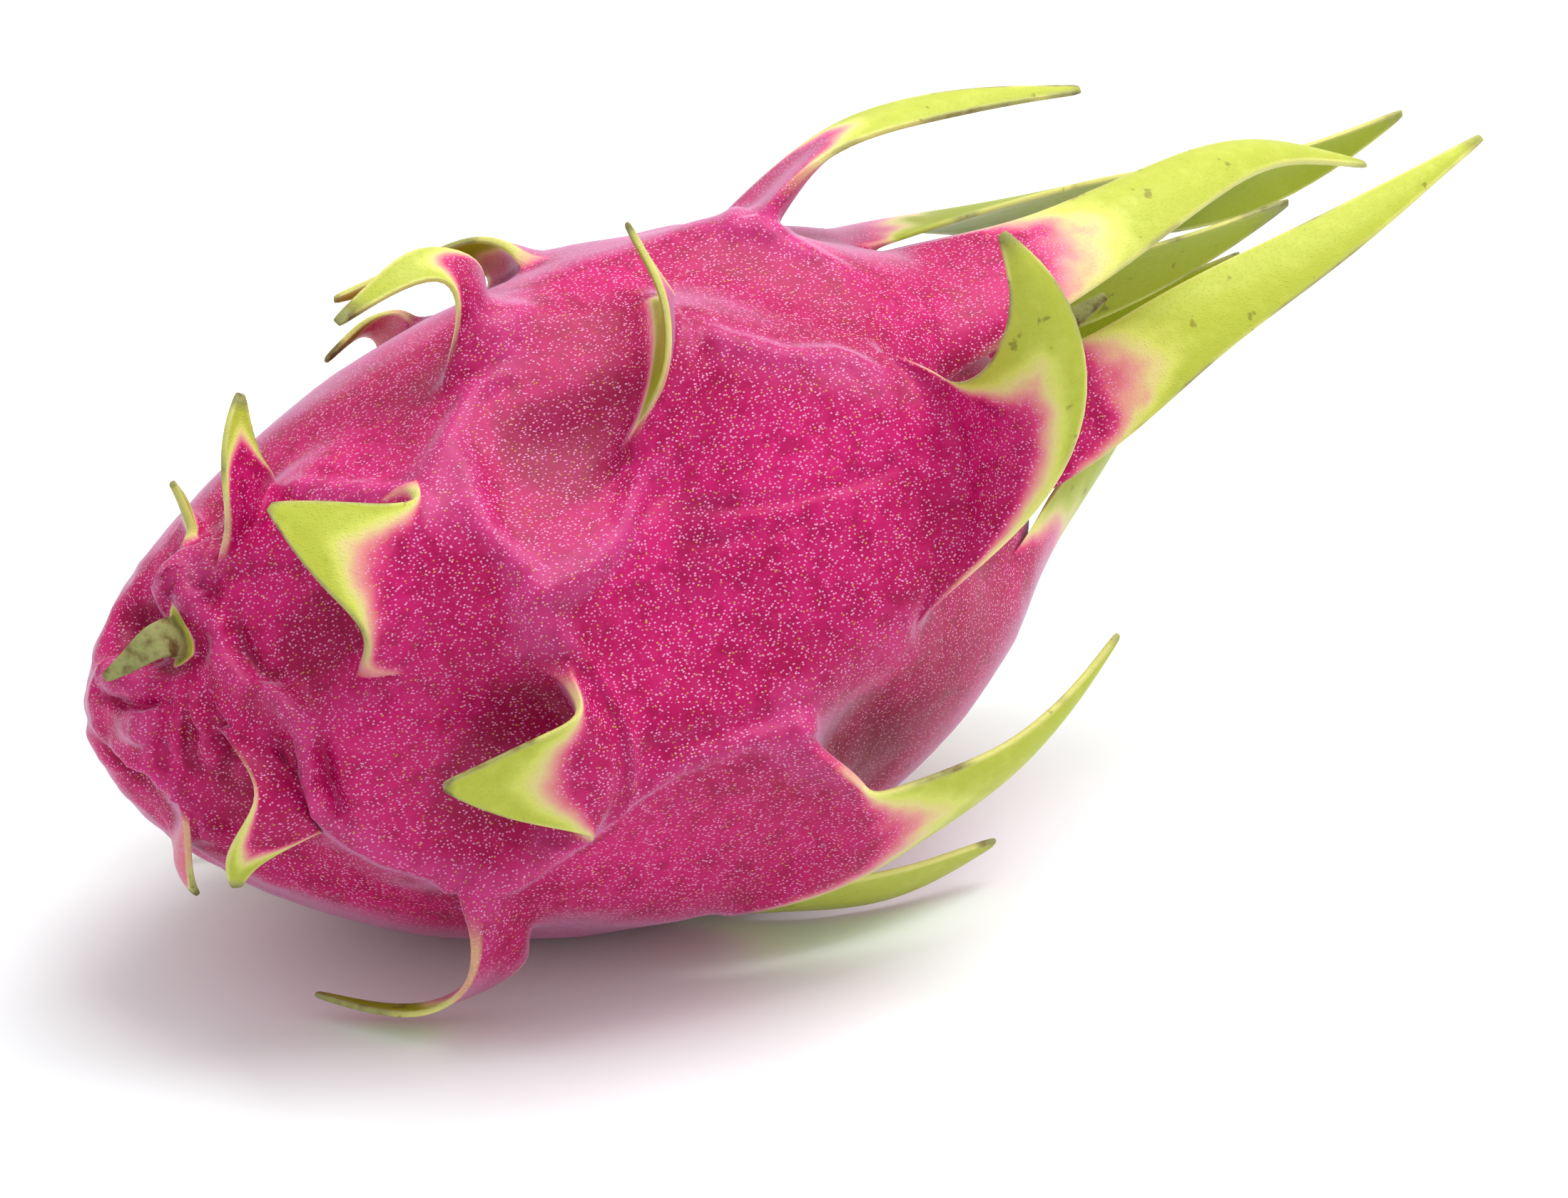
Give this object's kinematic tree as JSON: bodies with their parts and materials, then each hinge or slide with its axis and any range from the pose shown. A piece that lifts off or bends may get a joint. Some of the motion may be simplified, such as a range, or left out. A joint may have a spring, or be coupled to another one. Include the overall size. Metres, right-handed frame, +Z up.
{
  "type": "dragon fruit",
  "caption": "Whole ripe dragon fruit lying on its side: an egg-shaped leathery body with pointed scales that curl off its skin and long ones at the flower end. A food and still-life prop.",
  "frame": {"origin": "centre of the box's bottom face, on the surface that the fruit rests on", "axes": "+X along the fruit towards the flower end with the long scales, +Z up, and -Y towards the side that the picture shows"},
  "size_m": [0.2146, 0.1092, 0.0967],
  "materials": {
    "skin": "satin"
  },
  "bodies": {
    "root": {"dragon_fruit": "skin"}
  },
  "joints": []
}
